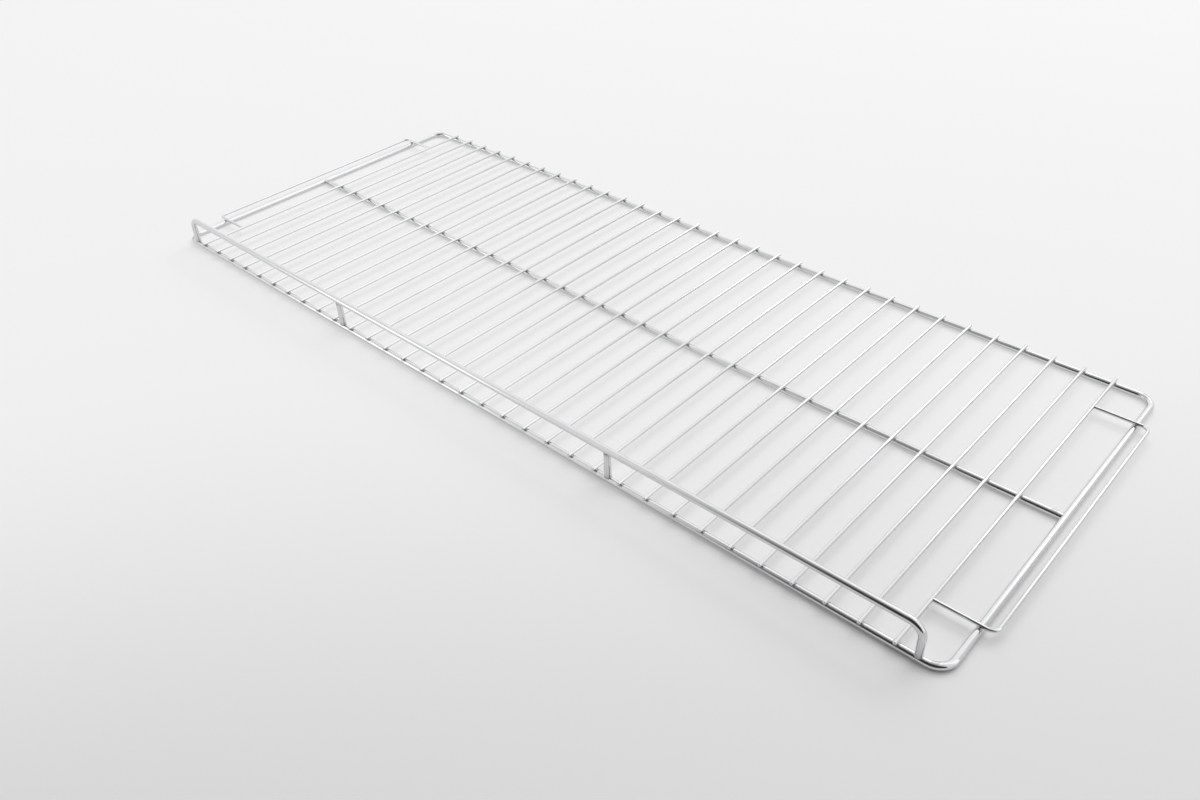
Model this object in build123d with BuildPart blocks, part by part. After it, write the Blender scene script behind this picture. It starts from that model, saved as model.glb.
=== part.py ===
"""Refrigerator shelf: a welded grid of round bright steel wire.

A heavy wire is bent into a closed rectangular frame and stiffened by a bar along its middle.
Thin cross wires lie on top of both, a guard rail stands over the front edge to stop bottles and jars,
and a thin loop on each side carries the shelf on the ledges of the cabinet.

Sizes are in millimetres. X runs along the shelf's length, Y from its front to its rear, Z upwards.
The origin is on the floor, under the middle of the shelf.
"""
import os
from build123d import *

# Wire stock
heavy_wire = 6.0
thin_wire = 3.0

# Frame, measured over the outside of the bent wire
frame_length = 941.0
frame_depth = 381.0
frame_bend_radius = 14.0

# Cross wires, spread evenly between the two outermost ones
wire_count = 33
wire_end_gap = 35.5
wire_overhang = 0.5

# Guard rail over the front edge, with two posts that stand midway between cross wires
guard_top = 36.0
guard_bend_radius = 11.0
guard_leg_clear = 5.5
post_after_wire = 10

# Side loops that rest on the cabinet's ledges
loop_span = 280.0
loop_slot = 6.5
loop_bend_radius = 6.0

# How far the end of a wire is pressed into the one it is welded to
weld_set_down = 0.6

# A quarter bend's two handles, as a share of its radius, that make it follow a circle
bend_handle = 0.5523

# Heights of the wires' centre lines
frame_z = heavy_wire / 2
wire_z = heavy_wire + thin_wire / 2
guard_z = guard_top - heavy_wire / 2

# Places of the wires' centre lines
side_rail_x = (frame_length - heavy_wire) / 2
front_rail_y = -(frame_depth - heavy_wire) / 2
rear_rail_y = -front_rail_y
outer_wire_x = side_rail_x - wire_end_gap
wire_pitch = 2 * outer_wire_x / (wire_count - 1)
guard_leg_x = side_rail_x - frame_bend_radius - guard_leg_clear
post_x = outer_wire_x - (post_after_wire - 0.5) * wire_pitch
loop_x = frame_length / 2 + loop_slot + thin_wire / 2
wire_length = frame_depth + 2 * wire_overhang

os.makedirs("parts", exist_ok=True)


def draw_bent_path(points, bend_radius):
    """Draws straight runs from the first point to the last, with a quarter bend at each corner between.

    A bend is one smooth curve, which stays within 0.01 mm of an arc and keeps the swept wire light.
    """
    run_start = Vector(*points[0])
    for point, next_point in zip(points[1:-1], points[2:]):
        corner = Vector(*point)
        back = (run_start - corner).normalized()
        ahead = (Vector(*next_point) - corner).normalized()
        bend_start = corner + back * bend_radius
        bend_end = corner + ahead * bend_radius
        handle_reach = bend_radius * (1 - bend_handle)
        Line(run_start, bend_start)
        Bezier(bend_start, corner + back * handle_reach, corner + ahead * handle_reach, bend_end)
        run_start = bend_end
    Line(run_start, points[-1])


def write_part(piece, name):
    """Labels a finished piece and writes it under its own name."""
    piece.part.label = name
    export_step(piece.part, f"parts/{name}.step")


# Frame: one heavy wire bent round four corners, its ends butt welded in the middle of the rear rail
with BuildPart() as frame_ring:
    with BuildLine() as frame_path:
        frame_points = [
            (0, rear_rail_y, frame_z),
            (-side_rail_x, rear_rail_y, frame_z),
            (-side_rail_x, front_rail_y, frame_z),
            (side_rail_x, front_rail_y, frame_z),
            (side_rail_x, rear_rail_y, frame_z),
            (0, rear_rail_y, frame_z),
        ]
        draw_bent_path(frame_points, frame_bend_radius)
    with BuildSketch(Plane(origin=frame_path.line @ 0, z_dir=frame_path.line % 0)):
        Circle(heavy_wire / 2)
    sweep()
write_part(frame_ring, "frame_ring")

# Middle bar: its ends are welded to the inner sides of the side rails
with BuildPart() as middle_bar:
    with BuildSketch(Plane.YZ):
        with Locations((0, frame_z)):
            Circle(heavy_wire / 2)
    extrude(amount=side_rail_x - heavy_wire / 2 + weld_set_down, both=True)
    add(frame_ring.part, mode=Mode.SUBTRACT)
write_part(middle_bar, "middle_bar")

# Cross wires: each lies on the front rail, the middle bar and the rear rail, and is spot welded to all three
outer_wires = []
for wire_number in range(1, wire_count + 1):
    wire_x = -outer_wire_x + (wire_number - 1) * wire_pitch
    with BuildPart() as cross_wire:
        with BuildSketch(Plane.XZ):
            with Locations((wire_x, wire_z)):
                Circle(thin_wire / 2)
        extrude(amount=wire_length / 2, both=True)
    write_part(cross_wire, f"cross_wire_{wire_number:02d}")
    if wire_number in (1, wire_count):
        outer_wires.append(cross_wire.part)

# Guard rail: its two ends are bent down and welded on top of the front rail
guard_foot_z = heavy_wire - weld_set_down
with BuildPart() as guard_rail:
    with BuildLine() as guard_path:
        guard_points = [
            (-guard_leg_x, front_rail_y, guard_foot_z),
            (-guard_leg_x, front_rail_y, guard_z),
            (guard_leg_x, front_rail_y, guard_z),
            (guard_leg_x, front_rail_y, guard_foot_z),
        ]
        draw_bent_path(guard_points, guard_bend_radius)
    with BuildSketch(Plane(origin=guard_path.line @ 0, z_dir=guard_path.line % 0)):
        Circle(heavy_wire / 2)
    sweep()
    add(frame_ring.part, mode=Mode.SUBTRACT)
write_part(guard_rail, "guard_rail")

# Guard posts: short lengths of heavy wire between the front rail and the guard rail
post_top_z = guard_z - heavy_wire / 2 + weld_set_down
for side, post_side_x in (("left", -post_x), ("right", post_x)):
    with BuildPart() as guard_post:
        with BuildSketch(Plane.XY.offset(guard_foot_z)):
            with Locations((post_side_x, front_rail_y)):
                Circle(heavy_wire / 2)
        extrude(amount=post_top_z - guard_foot_z)
        add(frame_ring.part, mode=Mode.SUBTRACT)
        add(guard_rail.part, mode=Mode.SUBTRACT)
    write_part(guard_post, f"guard_post_{side}")

# Side loops: each lies across a side rail, with its two ends welded to the side of the outermost cross wire
loop_end_x = outer_wire_x + thin_wire / 2 - weld_set_down
for side, direction, outer_wire in (("left", -1, outer_wires[0]), ("right", 1, outer_wires[1])):
    with BuildPart() as side_loop:
        with BuildLine() as loop_path:
            loop_points = [
                (direction * loop_end_x, -loop_span / 2, wire_z),
                (direction * loop_x, -loop_span / 2, wire_z),
                (direction * loop_x, loop_span / 2, wire_z),
                (direction * loop_end_x, loop_span / 2, wire_z),
            ]
            draw_bent_path(loop_points, loop_bend_radius)
        with BuildSketch(Plane(origin=loop_path.line @ 0, z_dir=loop_path.line % 0)):
            Circle(thin_wire / 2)
        sweep()
        add(outer_wire, mode=Mode.SUBTRACT)
    write_part(side_loop, f"side_loop_{side}")
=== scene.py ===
import math
import bpy
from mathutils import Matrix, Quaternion, Vector


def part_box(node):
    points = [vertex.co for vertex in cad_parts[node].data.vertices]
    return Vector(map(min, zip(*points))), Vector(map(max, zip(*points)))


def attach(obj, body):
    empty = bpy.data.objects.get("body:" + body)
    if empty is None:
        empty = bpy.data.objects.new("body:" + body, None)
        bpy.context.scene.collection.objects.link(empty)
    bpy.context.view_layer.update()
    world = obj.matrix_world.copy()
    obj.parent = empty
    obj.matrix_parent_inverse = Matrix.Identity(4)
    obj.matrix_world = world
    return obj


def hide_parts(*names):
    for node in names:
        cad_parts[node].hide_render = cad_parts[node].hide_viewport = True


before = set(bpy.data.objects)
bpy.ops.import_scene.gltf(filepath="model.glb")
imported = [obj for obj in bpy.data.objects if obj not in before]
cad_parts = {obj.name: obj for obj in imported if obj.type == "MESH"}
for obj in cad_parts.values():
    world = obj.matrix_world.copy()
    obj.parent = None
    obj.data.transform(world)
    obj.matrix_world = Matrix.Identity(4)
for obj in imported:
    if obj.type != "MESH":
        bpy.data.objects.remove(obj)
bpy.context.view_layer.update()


# Frame ring: one heavy steel wire, drawn smooth, bent round four corners and butt welded at the rear.
# The whole shelf is plated bright after welding, so all its wires share one mirror-like finish.
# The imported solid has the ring's true shape and stays; this section gives it its finish.
ring_low, ring_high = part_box("frame_ring")
heavy_wire = ring_high.z - ring_low.z
side_rail_x = ring_high.x - heavy_wire / 2
rear_rail_y = ring_high.y - heavy_wire / 2
frame_bend_radius = 0.014
plating_bright = (0.70, 0.705, 0.71, 1)
plating_clouded = (0.62, 0.625, 0.635, 1)
# The greyest tone is the weld metal of the beads; on the wires it also stands in for painted shade at the
# joints.
weld_grey_and_painted_shade = (0.38, 0.375, 0.37, 1)
drawing_lines_along = 30
drawing_lines_across = 1400
line_depth = 0.00005
line_bump = 0.02
cloud_scale = 55
cloud_starts = 0.35
cloud_ends = 0.85
plain_roughness = 0.06
line_roughness = 0.07
cloud_roughness = 0.06
tint_and_shade_depth = 0.8
tint_and_shade_patchiness = 0.6
tint_roughness = 0.2


class Value:
    """A node socket that Python operators do maths on, in shader trees and geometry trees alike."""

    def __init__(self, tree, socket=None):
        self.tree = tree
        self.socket = socket

    def node(self, kind, inputs=None, output=0, **settings):
        """Adds a node, its settings first and then its sockets' values or links, and wraps one output."""
        made = self.tree.nodes.new(kind)
        for setting, value in settings.items():
            setattr(made, setting, value)
        for key, value in (inputs or {}).items():
            if isinstance(value, Value):
                self.tree.links.new(value.socket, made.inputs[key])
            else:
                made.inputs[key].default_value = value
        return Value(self.tree, made.outputs[output])

    def parts(self):
        """Wraps x, y and z of a vector."""
        split = self.node("ShaderNodeSeparateXYZ", {"Vector": self}).socket.node
        return [Value(self.tree, socket) for socket in split.outputs]

    def vector(self, x, y, z):
        return self.node("ShaderNodeCombineXYZ", {"X": x, "Y": y, "Z": z})

    def math(self, operation, *others):
        return self.node("ShaderNodeMath", dict(enumerate((self, *others))), operation=operation)

    def ramp(self, start, end):
        """Goes smoothly from 0 where the value is start to 1 where it is end."""
        sockets = {"Value": self, "From Min": start, "From Max": end}
        return self.node("ShaderNodeMapRange", sockets, interpolation_type="SMOOTHSTEP")

    def blend(self, first, second):
        """Mixes two colours, with the value as the second one's share."""
        return self.node("ShaderNodeMix", {0: self, 6: first, 7: second}, output=2, data_type="RGBA")

    def noise(self, scale, detail):
        return self.node("ShaderNodeTexNoise", {"Vector": self, "Scale": scale, "Detail": detail})

    def __add__(self, other):
        return self.math("ADD", other)

    def __sub__(self, other):
        return self.math("SUBTRACT", other)

    def __rsub__(self, other):
        return self.node("ShaderNodeMath", {0: other, 1: self}, operation="SUBTRACT")

    def __mul__(self, other):
        return self.math("MULTIPLY", other)

    def __truediv__(self, other):
        return self.math("DIVIDE", other)

    def __abs__(self):
        return self.math("ABSOLUTE")

    __radd__ = __add__
    __rmul__ = __mul__


def bright_wire(name, run, turned_run=None, turn_from=0.0, tint_and_shade=None):
    """Plated drawn wire: fine lines along its run, soft clouds in its gloss, and greyer metal with painted
    shade at its welds.

    The run is an axis; past turn_from, counted out from the middle, the wire has turned into another axis.
    """
    material = bpy.data.materials.new(name)
    material.use_nodes = True
    tree = material.node_tree
    place = Value(tree).node("ShaderNodeTexCoord", output="Object")
    spot = dict(zip("xyz", place.parts()))
    across = dict(spot)
    along = across.pop(run)
    if turned_run:
        turned = abs(spot["x"]).ramp(turn_from, turn_from + heavy_wire)
        along = spot[run] + (spot[turned_run] - spot[run]) * turned
        across[turned_run] = spot[turned_run] + (spot[run] - spot[turned_run]) * turned
    first_side, second_side = (side * drawing_lines_across for side in across.values())
    lines = place.vector(along * drawing_lines_along, first_side, second_side).noise(1, 2)
    clouds = place.noise(cloud_scale, 2)
    cloudiness = ((lines + clouds) / 2).ramp(cloud_starts, cloud_ends)
    colour = cloudiness.blend(plating_bright, plating_clouded)
    roughness = plain_roughness + lines * line_roughness + clouds * cloud_roughness
    # Greying at the welds: weld tint together with painted shade where the parts meet.
    if tint_and_shade:
        tint_and_shade_share = tint_and_shade(**spot) * (1 - tint_and_shade_patchiness + clouds * tint_and_shade_patchiness)
        colour = (tint_and_shade_share * tint_and_shade_depth).blend(colour, weld_grey_and_painted_shade)
        roughness = roughness + tint_and_shade_share * tint_roughness
    shader = tree.nodes["Principled BSDF"]
    shader.inputs["Metallic"].default_value = 1
    bump_sockets = {"Strength": line_bump, "Distance": line_depth, "Height": lines}
    bump = lines.node("ShaderNodeBump", bump_sockets)
    tree.links.new(colour.socket, shader.inputs["Base Color"])
    tree.links.new(roughness.socket, shader.inputs["Roughness"])
    tree.links.new(bump.socket, shader.inputs["Normal"])
    return material


wire_names = sorted(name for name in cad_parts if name.startswith("cross_wire_"))
wire_low, wire_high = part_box(wire_names[0])
first_wire_x = (wire_low.x + wire_high.x) / 2
wire_pitch = -2 * first_wire_x / (len(wire_names) - 1)
spot_weld_reach = 0.0035
spot_weld_core = 0.0015
butt_weld_reach = 0.004
butt_weld_core = 0.001
butt_weld_dullness = 0.4


def rail_tint_and_shade(x, y, z):
    """The top of a rail is greyer beside each cross wire, weld tint with painted shade in the joint, and
    the rear rail is duller at its butt weld.
    """
    from_wire = (x - first_wire_x).math("PINGPONG", wire_pitch / 2)
    on_top = z.ramp(heavy_wire * 0.6, heavy_wire * 0.9)
    beside_wires = from_wire.ramp(spot_weld_reach, spot_weld_core) * on_top
    at_rear = y.ramp(rear_rail_y - heavy_wire, rear_rail_y)
    butt_weld = abs(x).ramp(butt_weld_reach, butt_weld_core) * at_rear
    return beside_wires.math("MAXIMUM", butt_weld * butt_weld_dullness)


ring_turn_from = side_rail_x - frame_bend_radius
ring_finish = bright_wire("ring_plating", "x", "y", ring_turn_from, rail_tint_and_shade)
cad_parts["frame_ring"].material_slots[0].material = ring_finish


# Middle bar: a straight heavy wire of the same stock, welded between the side rails to stiffen the grid.
# It has the ring's plating, with the drawing lines along its length.
bar_finish = bright_wire("middle_bar_plating", "x", tint_and_shade=rail_tint_and_shade)
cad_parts["middle_bar"].material_slots[0].material = bar_finish


# Cross wires: thin drawn wire cut to length, laid over the front rail, the middle bar and the rear rail.
# Each is spot welded to all three, so between the welds it is never quite straight.
# The cutter leaves the ends slightly rounded. One tree makes all the wires from a single centre line.
thin_wire = wire_high.x - wire_low.x
wire_length = wire_high.y - wire_low.y
wire_z = (wire_low.z + wire_high.z) / 2
end_rounding = 0.0005
wire_bow = 0.00025
wire_tint_and_shade_reach = 0.006
wire_tint_and_shade_core = 0.002
wire_seed = 7.0
wire_sides = 20
steps_along = 48


def wire_tint_and_shade(x, y, z):
    """Each cross wire is greyer underneath, where it is welded to the bar and to the two rails: weld tint
    with painted shade where they meet.
    """
    from_bar = abs(y).math("PINGPONG", rear_rail_y)
    from_end_rail = abs(abs(y) - rear_rail_y)
    from_weld = from_bar.math("MINIMUM", from_end_rail)
    underneath = z.ramp(wire_z + thin_wire * 0.2, wire_z - thin_wire * 0.3)
    return from_weld.ramp(wire_tint_and_shade_reach, wire_tint_and_shade_core) * underneath


def geometry_tree(name, inputs):
    """Starts a geometry tree with named inputs, and returns it with its inputs wrapped."""
    tree = bpy.data.node_groups.new(name, "GeometryNodeTree")
    tree.interface.new_socket("Geometry", in_out="OUTPUT", socket_type="NodeSocketGeometry")
    tree.interface.new_socket("Geometry", in_out="INPUT", socket_type="NodeSocketGeometry")
    for title, kind in inputs.items():
        tree.interface.new_socket(title, in_out="INPUT", socket_type=kind)
    sockets = tree.nodes.new("NodeGroupInput").outputs
    return tree, {socket.name: Value(tree, socket) for socket in sockets if socket.name}


def grown_piece(name, base, tree, result, material, settings):
    """Ends a tree in smooth, realized geometry, runs it on a base mesh and keeps a plain mesh."""
    realized = result.node("GeometryNodeRealizeInstances", {"Geometry": result})
    smooth = realized.node("GeometryNodeSetShadeSmooth", {"Geometry": realized})
    finished = smooth.node("GeometryNodeSetMaterial", {"Geometry": smooth, "Material": material})
    tree.links.new(finished.socket, tree.nodes.new("NodeGroupOutput").inputs["Geometry"])
    piece = bpy.data.objects.new(name, base)
    bpy.context.scene.collection.objects.link(piece)
    modifier = piece.modifiers.new("grow", "NODES")
    modifier.node_group = tree
    for item in tree.interface.items_tree:
        if item.in_out == "INPUT" and item.name in settings:
            modifier[item.identifier] = settings[item.name]
    shaped = piece.evaluated_get(bpy.context.evaluated_depsgraph_get())
    mesh = bpy.data.meshes.new_from_object(shaped)
    piece.modifiers.clear()
    piece.data = mesh
    return piece


end_cut = [end_rounding * share for share in (0, 0.1, 0.4, 1)]
straight_half = wire_length / 2 - 2 * end_rounding
line_y = [cut - wire_length / 2 for cut in end_cut]
line_y += [straight_half * (2 * step / steps_along - 1) for step in range(steps_along + 1)]
line_y += [wire_length / 2 - cut for cut in reversed(end_cut)]
centre_line = bpy.data.meshes.new("cross_wire_line")
centre_line.from_pydata([(0, y, wire_z) for y in line_y], [(n, n + 1) for n in range(len(line_y) - 1)], [])

tree, given = geometry_tree("cross_wires", {
    "Wire Count": "NodeSocketInt",
    "First Wire": "NodeSocketFloat",
    "Wire Pitch": "NodeSocketFloat",
    "Wire Radius": "NodeSocketFloat",
    "End Rounding": "NodeSocketFloat",
    "Rail Distance": "NodeSocketFloat",
    "Bow": "NodeSocketFloat",
    "Seed": "NodeSocketFloat",
})
start = given["Geometry"]
curve = start.node("GeometryNodeMeshToCurve", {"Mesh": start})
passed = start.node("GeometryNodeSplineParameter", output="Length")
whole = start.node("GeometryNodeSplineLength", output="Length")
from_end = passed.math("MINIMUM", whole - passed)
cut_short = 1 - (from_end / given["End Rounding"]).math("MINIMUM", 1.0)
radius = given["Wire Radius"] - given["End Rounding"] * (1 - (1 - cut_short * cut_short).math("SQRT"))
circle = start.node("GeometryNodeCurvePrimitiveCircle", {"Resolution": wire_sides, "Radius": 1.0})
tube_sockets = {"Curve": curve, "Profile Curve": circle, "Scale": radius, "Fill Caps": True}
tube = curve.node("GeometryNodeCurveToMesh", tube_sockets)
row_sockets = {
    "Count": given["Wire Count"],
    "Start Location": start.vector(given["First Wire"], 0, 0),
    "Offset": start.vector(given["Wire Pitch"], 0, 0),
}
row = start.node("GeometryNodeMeshLine", row_sockets, mode="OFFSET")
wires = row.node("GeometryNodeInstanceOnPoints", {"Points": row, "Instance": tube})
wires = wires.node("GeometryNodeRealizeInstances", {"Geometry": wires})
wire_x, wire_y, _ = start.node("GeometryNodeInputPosition").parts()
number = ((wire_x - given["First Wire"]) / given["Wire Pitch"]).math("ROUND")
chance_side = number.node("ShaderNodeTexWhiteNoise", {"W": number + given["Seed"]}, noise_dimensions="1D")
chance_up = number.node("ShaderNodeTexWhiteNoise", {"W": number - given["Seed"]}, noise_dimensions="1D")
sway = (wire_y / given["Rail Distance"] * math.pi).math("SINE") * given["Bow"]
offset = start.vector(sway * (chance_side - 0.5), 0, sway * (chance_up - 0.5))
wires = wires.node("GeometryNodeSetPosition", {"Geometry": wires, "Offset": offset})
wire_finish = bright_wire("cross_wire_plating", "y", tint_and_shade=wire_tint_and_shade)
cross_wires = grown_piece("cross_wires", centre_line, tree, wires, wire_finish, {
    "Wire Count": len(wire_names),
    "First Wire": first_wire_x,
    "Wire Pitch": wire_pitch,
    "Wire Radius": thin_wire / 2,
    "End Rounding": end_rounding,
    "Rail Distance": rear_rail_y,
    "Bow": wire_bow,
    "Seed": wire_seed,
})
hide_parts(*wire_names)
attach(cross_wires, "root")


# Guard rail and posts: heavy wire over the front edge, its ends bent down and welded on the front rail.
# Two short posts of the same wire, welded between the rails, keep it from bending when it is leaned on.
# The legs and posts run upwards, so their drawing lines do too.
guard_low, guard_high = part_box("guard_rail")
guard_bend_radius = 0.011
guard_turn_from = guard_high.x - heavy_wire / 2 - guard_bend_radius
post_low, post_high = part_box("guard_post_right")
post_x = (post_low.x + post_high.x) / 2
foot_reach = 0.004


def guard_tint_and_shade(x, y, z):
    """The guard rail is greyer at its feet and around the tops of the two posts, weld tint with painted
    shade at these joints.
    """
    at_feet = z.ramp(heavy_wire + foot_reach, heavy_wire)
    at_posts = abs(abs(x) - post_x).ramp(heavy_wire, heavy_wire * 0.5)
    underneath = z.ramp(guard_high.z - heavy_wire * 0.4, guard_high.z - heavy_wire)
    return at_feet.math("MAXIMUM", at_posts * underneath)


def post_tint_and_shade(x, y, z):
    """A post is greyer at both ends, weld tint with painted shade at its joints."""
    at_foot = z.ramp(heavy_wire + foot_reach, heavy_wire)
    return at_foot.math("MAXIMUM", z.ramp(post_high.z - foot_reach, post_high.z))


guard_finish = bright_wire("guard_plating", "x", "z", guard_turn_from, guard_tint_and_shade)
post_finish = bright_wire("post_plating", "z", tint_and_shade=post_tint_and_shade)
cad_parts["guard_rail"].material_slots[0].material = guard_finish
for post_name in ("guard_post_left", "guard_post_right"):
    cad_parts[post_name].material_slots[0].material = post_finish


# Side loops: thin wire bent into a flat loop over each side rail, welded to it and to the outermost wire.
# The long outer run rests on the cabinet's ledge. The loops have the same plating, turned at their bends.
_, loop_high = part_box("side_loop_right")
loop_bend_radius = 0.006
loop_turn_from = loop_high.x - thin_wire / 2 - loop_bend_radius
loop_finish = bright_wire("loop_plating", "x", "y", loop_turn_from)
for loop_name in ("side_loop_left", "side_loop_right"):
    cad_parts[loop_name].material_slots[0].material = loop_finish


# Weld spots: where wires cross, the current melts them together and a little metal is pressed out.
# They are plated with the rest, but stay greyer and rougher than drawn wire.
# One tree puts a small uneven bead at every crossing, sized by what meets there.
spot_on_rail = (0.0020, 0.0018, 0.0007)
spot_on_side_rail = (0.0018, 0.0020, 0.0007)
spot_at_loop_end = (0.0009, 0.0019, 0.0012)
spot_at_post = (0.0034, 0.0027, 0.0008)
spot_at_bar_end = (0.0008, 0.0031, 0.0026)
spot_size_spread = 0.15
spot_unevenness = 0.0003
spot_noise_scale = 900
spot_seed = 11
spot_smoothest = 0.15
spot_roughness_spread = 0.25

weld_spots = []
for rail_y in (-rear_rail_y, 0, rear_rail_y):
    for wire_number in range(len(wire_names)):
        weld_spots.append(((first_wire_x + wire_number * wire_pitch, rail_y, heavy_wire), spot_on_rail))
loop_leg_y = loop_high.y - thin_wire / 2
loop_end_x = thin_wire / 2 - first_wire_x
bar_end_x = side_rail_x - heavy_wire / 2
guard_leg_x = guard_high.x - heavy_wire / 2
for side in (-1, 1):
    for end in (-1, 1):
        weld_spots.append(((side * side_rail_x, end * loop_leg_y, heavy_wire), spot_on_side_rail))
        weld_spots.append(((side * loop_end_x, end * loop_leg_y, wire_z), spot_at_loop_end))
    weld_spots.append(((side * bar_end_x, 0, heavy_wire / 2), spot_at_bar_end))
    weld_spots.append(((side * guard_leg_x, -rear_rail_y, guard_low.z), spot_at_post))
    weld_spots.append(((side * post_x, -rear_rail_y, post_low.z), spot_at_post))
    weld_spots.append(((side * post_x, -rear_rail_y, post_high.z), spot_at_post))
spot_points = bpy.data.meshes.new("weld_points")
spot_points.from_pydata([place for place, size in weld_spots], [], [])
spot_sizes = spot_points.attributes.new("spot_size", "FLOAT_VECTOR", "POINT")
for item, (place, size) in zip(spot_sizes.data, weld_spots):
    item.vector = size

weld_finish = bpy.data.materials.new("weld_plating")
weld_finish.use_nodes = True
weld_tree = weld_finish.node_tree
weld_place = Value(weld_tree).node("ShaderNodeTexCoord", output="Object")
ripple = weld_place.noise(spot_noise_scale, 3)
weld_colour = ripple.ramp(0.3, 0.7).blend(plating_clouded, weld_grey_and_painted_shade)
weld_roughness = ripple * spot_roughness_spread + spot_smoothest
weld_shader = weld_tree.nodes["Principled BSDF"]
weld_shader.inputs["Metallic"].default_value = 1
weld_tree.links.new(weld_colour.socket, weld_shader.inputs["Base Color"])
weld_tree.links.new(weld_roughness.socket, weld_shader.inputs["Roughness"])

tree, given = geometry_tree("weld_spots", {
    "Spread": "NodeSocketFloat",
    "Unevenness": "NodeSocketFloat",
    "Seed": "NodeSocketInt",
})
start = given["Geometry"]
bead = start.node("GeometryNodeMeshIcoSphere", {"Radius": 1.0, "Subdivisions": 2})
size = start.node("GeometryNodeInputNamedAttribute", {"Name": "spot_size"}, data_type="FLOAT_VECTOR")
smallest = 1 - given["Spread"]
largest = 1 + given["Spread"]
chance = start.node("FunctionNodeRandomValue", {2: smallest, 3: largest, "Seed": given["Seed"]}, output=1)
size = size.node("ShaderNodeVectorMath", {0: size, 3: chance}, operation="SCALE")
beads = start.node("GeometryNodeInstanceOnPoints", {"Points": start, "Instance": bead, "Scale": size})
beads = beads.node("GeometryNodeRealizeInstances", {"Geometry": beads})
lumps = start.node("GeometryNodeInputPosition").noise(spot_noise_scale, 1) - 0.5
lump_height = lumps * given["Unevenness"]
outward = start.node("GeometryNodeInputNormal")
swell = outward.node("ShaderNodeVectorMath", {0: outward, 3: lump_height}, operation="SCALE")
beads = beads.node("GeometryNodeSetPosition", {"Geometry": beads, "Offset": swell})
weld_beads = grown_piece("weld_beads", spot_points, tree, beads, weld_finish, {
    "Spread": spot_size_spread,
    "Unevenness": spot_unevenness,
    "Seed": spot_seed,
})
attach(weld_beads, "root")


# Studio: the shelf lies on a wide sheet of matt pale paper, its colour painted darker towards the camera
# as painted shade.
# A wide soft lamp hangs high behind it in a pale room, with a smaller one that the wires mirror.
# A card with one dark side stands in front on the right and gives that end its dark reflections.
paper_half_width = 12.0
paper_pale = (0.945, 0.945, 0.945, 1)
paper_painted_shade = (0.90, 0.90, 0.90, 1)
shade_slope_x = -0.60
shade_slope_y = 0.78
shade_starts = -0.30
shade_ends = -0.80
fibre_scale = 400
fibre_contrast = 0.02
paper_glow = 0.5
glow_starts = 0.75
glow_full = 0.10
corner_signs = [(-1, -1), (1, -1), (1, 1), (-1, 1)]
paper_corners = [(paper_half_width * x, paper_half_width * y, 0) for x, y in corner_signs]
paper_mesh = bpy.data.meshes.new("paper")
paper_mesh.from_pydata(paper_corners, [], [(0, 1, 2, 3)])
paper = bpy.data.objects.new("paper", paper_mesh)
bpy.context.scene.collection.objects.link(paper)
paper_finish = bpy.data.materials.new("paper_white")
paper_finish.use_nodes = True
paper_tree = paper_finish.node_tree
paper_place = Value(paper_tree).node("ShaderNodeTexCoord", output="Object")
paper_x, paper_y, _ = paper_place.parts()
fibres = (paper_place.noise(fibre_scale, 2) - 0.5) * fibre_contrast
# Painted shade: the paper's colour goes from pale to shaded towards the camera.
painted_shade = (paper_y * shade_slope_y + paper_x * shade_slope_x).ramp(shade_starts, shade_ends)
paper_colour = (painted_shade + fibres).blend(paper_pale, paper_painted_shade)
paper_shader = paper_tree.nodes["Principled BSDF"]
paper_shader.inputs["Specular IOR Level"].default_value = 0
paper_tree.links.new(paper_colour.socket, paper_shader.inputs["Base Color"])


def seen_from(tree):
    """Gives 1 to rays from the camera, a mirror or glass, and 0 to rays that only light a surface."""
    rays = tree.nodes.new("ShaderNodeLightPath").outputs
    seen_kinds = ("Camera", "Glossy", "Transmission")
    camera_ray, glossy_ray, glass_ray = (Value(tree, rays[f"Is {kind} Ray"]) for kind in seen_kinds)
    return camera_ray.math("MAXIMUM", glossy_ray).math("MAXIMUM", glass_ray)


# For the camera and mirrors the paper also glows, up to half of its look and less towards the card:
# painted light that softens the shadows on it.
away_from_card = (paper_x - paper_y).ramp(glow_starts, glow_full)
glow_share = seen_from(paper_tree) * away_from_card * paper_glow
paper_light = paper_colour.node("ShaderNodeEmission", {"Color": paper_colour, "Strength": 1.0})
paper_sockets = {0: glow_share, 1: Value(paper_tree, paper_shader.outputs[0]), 2: paper_light}
paper_look = paper_light.node("ShaderNodeMixShader", paper_sockets)
paper_tree.links.new(paper_look.socket, paper_tree.nodes["Material Output"].inputs["Surface"])
paper_mesh.materials.append(paper_finish)

card_left = -0.25
card_right = 3.0
card_y = -0.80
card_top = 1.7
card_soft_side = 0.5
card_soft_foot = 0.05
card_black = (0.02, 0.02, 0.02, 1)
card_roughness = 0.9
card_corners = [(card_left, 0), (card_left, card_top), (card_right, card_top), (card_right, 0)]
card_mesh = bpy.data.meshes.new("dark_card")
card_mesh.from_pydata([(x, card_y, z) for x, z in card_corners], [], [(0, 1, 2, 3)])
card = bpy.data.objects.new("dark_card", card_mesh)
bpy.context.scene.collection.objects.link(card)
card.visible_camera = False
card_finish = bpy.data.materials.new("card_black")
card_finish.use_nodes = True
card_tree = card_finish.node_tree
card_shader = card_tree.nodes["Principled BSDF"]
card_shader.inputs["Base Color"].default_value = card_black
card_shader.inputs["Roughness"].default_value = card_roughness
card_x, _, card_z = Value(card_tree).node("ShaderNodeTexCoord", output="Object").parts()
soft_edges = card_x.ramp(card_left, card_left + card_soft_side) * card_z.ramp(0, card_soft_foot)
from_behind = soft_edges.node("ShaderNodeNewGeometry", output="Backfacing")
card_share = soft_edges * (1 - from_behind)
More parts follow.
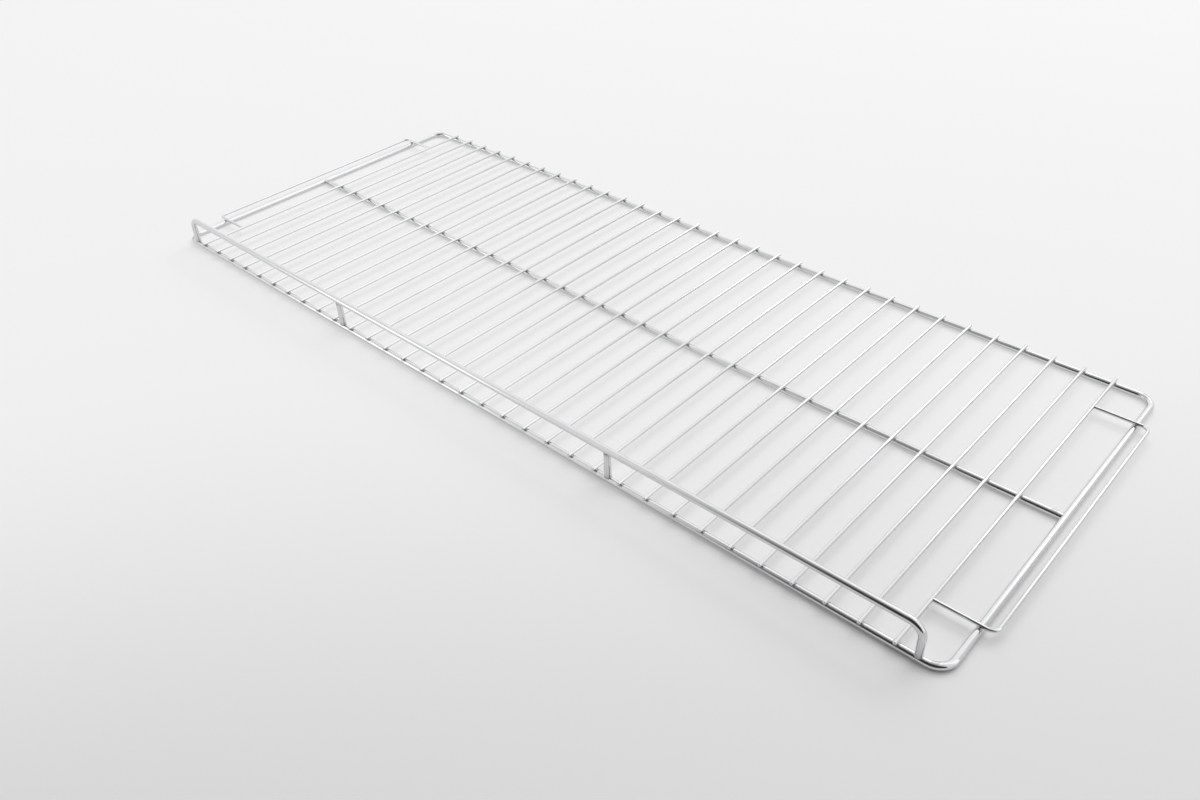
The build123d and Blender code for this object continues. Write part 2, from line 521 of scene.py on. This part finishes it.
card_sockets = {
    0: card_share,
    1: card_share.node("ShaderNodeBsdfTransparent"),
    2: Value(card_tree, card_shader.outputs[0]),
}
card_look = card_share.node("ShaderNodeMixShader", card_sockets)
card_tree.links.new(card_look.socket, card_tree.nodes["Material Output"].inputs["Surface"])
card_mesh.materials.append(card_finish)

# The room lights at one plain level. What the camera and the wires see of it differs by direction:
# the limits below are parts of the direction looked in, from -1 to 1.
room_plain = 0.5
room_pale = 0.95
room_rear = 1.16
room_wall = 0.26
room_right = 0.75
room_patch = 1.1
room_dim = 0.5
patch_x = -0.70
patch_z = 0.22
patch_half_width = 0.075
patch_half_height = 0.25
dim_towards = Vector((0, -0.5, 0.866))
room = bpy.data.worlds.new("pale_room")
room.use_nodes = True
bpy.context.scene.world = room
room_tree = room.node_tree
look = Value(room_tree).node("ShaderNodeTexCoord", output="Generated")
look_x, look_y, look_z = look.parts()
rear = look_y.ramp(0, 0.5)
right = look_x.ramp(0.2, 0.7) * look_y.ramp(0.50, 0.68)
off_side = (look_x - patch_x) / patch_half_width
off_height = (look_z - patch_z) / patch_half_height
patch = (off_side * off_side + off_height * off_height).ramp(1.6, 0.5) * look_y.ramp(0, -0.2)
wall = look_x.ramp(-0.50, -0.30) * look_y.ramp(0.20, 0.35) * look_y.ramp(0.62, 0.50) * look_z.ramp(0, 0.15)
light = room_pale + rear * (room_rear - room_pale) + right * (room_right - room_rear)
light = light + patch * room_patch + wall * room_wall
dim_sockets = {0: look, 1: dim_towards}
facing_dim = look.node("ShaderNodeVectorMath", dim_sockets, output="Value", operation="DOT_PRODUCT")
light = light * (1 - facing_dim.ramp(0.65, 0.95) * look_x.ramp(-0.52, -0.36) * room_dim)
light = room_plain + seen_from(room_tree) * (light - room_plain)
background = room_tree.nodes["Background"]
background.inputs["Color"].default_value = (1, 1, 1, 1)
room_tree.links.new(light.socket, background.inputs["Strength"])


def soft_lamp(name, place, width, height, watts, mirrored):
    """Hangs a rectangular soft lamp that faces the shelf, and says whether bright wires mirror it."""
    lamp = bpy.data.lights.new(name, "AREA")
    lamp.shape = "RECTANGLE"
    lamp.size = width
    lamp.size_y = height
    lamp.energy = watts
    holder = bpy.data.objects.new(name, lamp)
    holder.location = place
    holder.rotation_euler = (-Vector(place)).to_track_quat("-Z", "Y").to_euler()
    holder.visible_glossy = mirrored
    bpy.context.scene.collection.objects.link(holder)


soft_lamp("rear_lamp", (0.2, 4.52, 3.87), width=2.6, height=1.1, watts=24, mirrored=True)
soft_lamp("ceiling_lamp", (-0.8, 4.4, 6.4), width=9.0, height=9.0, watts=390, mirrored=False)


# Camera: at the photograph's place, above the front right end, looking down along the shelf.
# Its lens and turn were worked out from the wire grid in a 1200 by 800 frame.
eye = Vector((0.5973, -0.6335, 0.5517))
aim = Vector((0.1046, -0.1189, 0.0075))
tilt = math.radians(-2.52)
camera = bpy.data.cameras.new("camera")
camera.sensor_width = 36
camera.lens = 30.75
viewer = bpy.data.objects.new("camera", camera)
viewer.rotation_mode = "QUATERNION"
viewer.rotation_quaternion = (aim - eye).to_track_quat("-Z", "Y") @ Quaternion((0, 0, 1), tilt)
viewer.location = eye
bpy.context.scene.collection.objects.link(viewer)
bpy.context.scene.camera = viewer
bpy.context.scene.view_settings.view_transform = "Standard"
